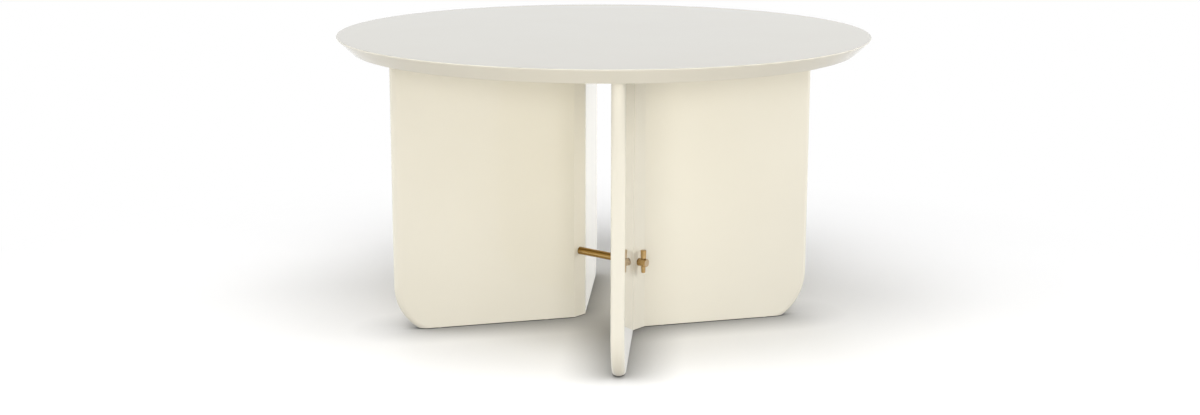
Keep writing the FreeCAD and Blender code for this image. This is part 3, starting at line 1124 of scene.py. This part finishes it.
@dataclass(frozen=True)
class Softbox:
    """A large soft lamp that points at the table; its place is given as the camera sees it."""

    name: str
    bearing: float  # degrees round the table, from the camera to its right
    rise: float  # degrees up from the level
    watts: float
    width: float = 1.6
    height: float = 1.2
    distance: float = 3.2
    lights: Lights = Lights.EVERYTHING

    def hang(self, azimuth: float, target: Vector, floor: bpy.types.Object) -> None:
        """Hangs the lamp, out of the camera's sight and of mirrored views.

        Args:
            azimuth: The camera's direction round the table.
            target: What it points at.
            floor: The floor, which some lamps spare or light alone.
        """
        lamp = bpy.data.lights.new(self.name, "AREA")
        lamp.shape = "RECTANGLE"
        lamp.size = self.width
        lamp.size_y = self.height
        lamp.energy = self.watts
        thing = bpy.data.objects.new(self.name, lamp)
        rise = math.radians(self.rise)
        reach = Vector((0, -math.cos(rise), math.sin(rise))) * self.distance
        thing.location = target + Matrix.Rotation(azimuth + math.radians(self.bearing), 3, "Z") @ reach
        thing.rotation_euler = (target - thing.location).to_track_quat("-Z", "Y").to_euler()
        thing.visible_camera = False
        thing.visible_glossy = False
        bpy.context.scene.collection.objects.link(thing)
        if self.lights is not Lights.EVERYTHING:
            listed = bpy.data.collections.new(f"{self.name}_floor")
            listed.objects.link(floor)
            listed.collection_objects[0].light_linking.link_state = self.lights.value
            thing.light_linking.receiver_collection = listed


@dataclass
class Studio:
    """A pale floor, clear from below, that is shown white but keeps its shadows, a glow and softboxes."""

    azimuth: float  # the camera's direction round the table, in radians
    floor_size: float = 40.0
    floor_tone: Colour = (0.230, 0.210, 0.175)  # what the floor throws back on to the table
    shown_tone: float = 0.83  # what is seen of the floor near the table
    contact: float = 0.085  # how far the shade at the table's foot reaches
    contact_power: float = 1.15
    fade: Span = (0.6, 1.2)  # where the floor turns plain white, out from the middle
    mirrored_white: float = 0.6  # share of plain white in the floor that the table mirrors
    glow: float = 0.5
    glow_fade: Span = (0.14, 0.38)  # sine of the height at which the glow ends
    target: Point = (0.0, 0.0, 0.25)
    softboxes: tuple[Softbox, ...] = (
        Softbox("front_softbox", 0, 6, 62.0),
        Softbox("front_wide_softbox", 10, 20, 12.0, width=3.0),
        Softbox("right_front_softbox", 60, 42, 10.0),
        Softbox("right_softbox", 98, 15, 51.0),
        Softbox("right_rear_softbox", 140, 12, 40.0, lights=Lights.ALL_BUT_FLOOR),
        Softbox("rear_softbox", -165, 14, 34.0),
        Softbox("left_softbox", -100, 12, 52.0),
        Softbox("left_front_softbox", -50, 50, 17.0),
        Softbox("overhead_softbox", 0, 75, 5.0),
        Softbox("floor_softbox", 0, 63, 80.0, width=2.4, height=2.0, lights=Lights.FLOOR_ALONE),
    )

    def build(self) -> None:
        """Lays the floor, sets the surround and hangs the lamps."""
        scene = bpy.context.scene
        scene.view_settings.view_transform = "Standard"
        floor = self.lay_floor()
        self.set_surround(scene)
        for softbox in self.softboxes:
            softbox.hang(self.azimuth, Vector(self.target), floor)

    def lay_floor(self) -> bpy.types.Object:
        """Lays the floor, which is left out of the table's bodies.

        Returns:
            The floor.
        """
        shape = bmesh.new()
        bmesh.ops.create_grid(shape, x_segments=2, y_segments=2, size=self.floor_size / 2)
        floor = loose_object("floor", shape)
        material = bpy.data.materials.new("white_floor")
        self.paint_floor(Shader(material))
        floor.data.materials.append(material)
        return floor

    def paint_floor(self, shader: Shader) -> None:
        """Fills the floor's tree: shaded near the table, plain white far off, and clear from below.

        Args:
            shader: The tree to fill.
        """
        plain = shader.node("ShaderNodeBsdfDiffuse", {}, {"Color": (*self.floor_tone, 1.0)})
        open_share = shader.node("ShaderNodeAmbientOcclusion", {}, {"Distance": self.contact}, "AO")
        shade = open_share**self.contact_power * self.shown_tone
        shaded = shader.node("ShaderNodeBsdfDiffuse", {}, {"Color": shade})
        white = shader.node("ShaderNodeEmission", {}, {"Strength": 1.0})
        away = shader.node("ShaderNodeVectorMath", {"operation": "LENGTH"}, {0: shader.place()}, "Value")
        mirrored = shader.node("ShaderNodeLightPath", output="Is Glossy Ray")
        bare = away.step(*self.fade).top(mirrored * self.mirrored_white)
        surface = shader.choose(self.seen(shader), plain, shader.choose(bare, shaded, white))
        below = shader.node("ShaderNodeNewGeometry", output="Backfacing")
        surface = shader.choose(below, surface, shader.node("ShaderNodeBsdfTransparent"))
        shader.node("ShaderNodeOutputMaterial", {}, {"Surface": surface})

    def set_surround(self, scene: bpy.types.Scene) -> None:
        """Sets the world: white where it is seen or mirrored, and a glow low down as a lamp.

        Args:
            scene: The scene.
        """
        scene.world = bpy.data.worlds.new("white_surround")
        shader = Shader(scene.world)
        seen = self.seen(shader)
        height = shader.along(shader.node("ShaderNodeTexCoord", output="Generated"), "Z")
        glow = (1.0 - height.step(*self.glow_fade)) * self.glow
        strength = seen + (1.0 - seen) * glow
        light = shader.node("ShaderNodeBackground", {}, {"Color": WHITE, "Strength": strength})
        shader.node("ShaderNodeOutputWorld", {}, {"Surface": light})

    @staticmethod
    def seen(shader: Shader) -> Value:
        """Tells rays that see a surface from rays that only light it.

        Args:
            shader: The tree.

        Returns:
            1 for camera, glossy and transmission rays.
        """
        rays = ("Is Camera Ray", "Is Glossy Ray", "Is Transmission Ray")
        camera, glossy, through = (shader.node("ShaderNodeLightPath", output=ray) for ray in rays)
        return camera.top(glossy).top(through)


@dataclass(frozen=True)
class PhotoCamera:
    """The camera, as fitted to the photograph's edges, with its angles in radians."""

    lens: float = 55.1815  # millimetres, as the sensor is
    sensor: float = 36.0
    azimuth: float = 0.67355
    distance: float = 2.81068
    height: float = 0.79941
    pitch: float = 0.21549
    yaw: float = -0.00178
    roll: float = 0.00242

    def build(self) -> None:
        """Makes the camera and looks through it."""
        data = bpy.data.cameras.new("photo_camera")
        data.lens = self.lens
        data.sensor_width = self.sensor
        data.sensor_fit = "HORIZONTAL"
        camera = bpy.data.objects.new("photo_camera", data)
        bpy.context.scene.collection.objects.link(camera)
        ahead = Vector(
            (
                math.sin(self.yaw) * math.cos(self.pitch),
                math.cos(self.yaw) * math.cos(self.pitch),
                -math.sin(self.pitch),
            )
        )
        right = Vector((math.cos(self.yaw), -math.sin(self.yaw), 0))
        up = right.cross(ahead)
        level, tilt = math.cos(self.roll), math.sin(self.roll)
        axes = Matrix((level * right + tilt * up, level * up - tilt * right, -ahead)).transposed()
        round_table = Matrix.Rotation(self.azimuth, 3, "Z")
        place = Matrix.Translation(round_table @ Vector((0, -self.distance, self.height)))
        camera.matrix_world = place @ (round_table @ axes).to_4x4()
        bpy.context.scene.camera = camera


def main() -> None:
    """Builds the table, then the studio round it."""
    logging.basicConfig(level=logging.INFO, format="%(message)s")
    camera = PhotoCamera()
    table = (
        RoundTop(),
        PanelLeg(LegSide.LEFT),
        PanelLeg(LegSide.RIGHT),
        TieBar(),
        TopFixings(),
        FloorGlides(),
    )
    for sub_assembly in table:
        sub_assembly.build()
    Studio(camera.azimuth).build()
    camera.build()


if __name__ == "__main__":
    main()
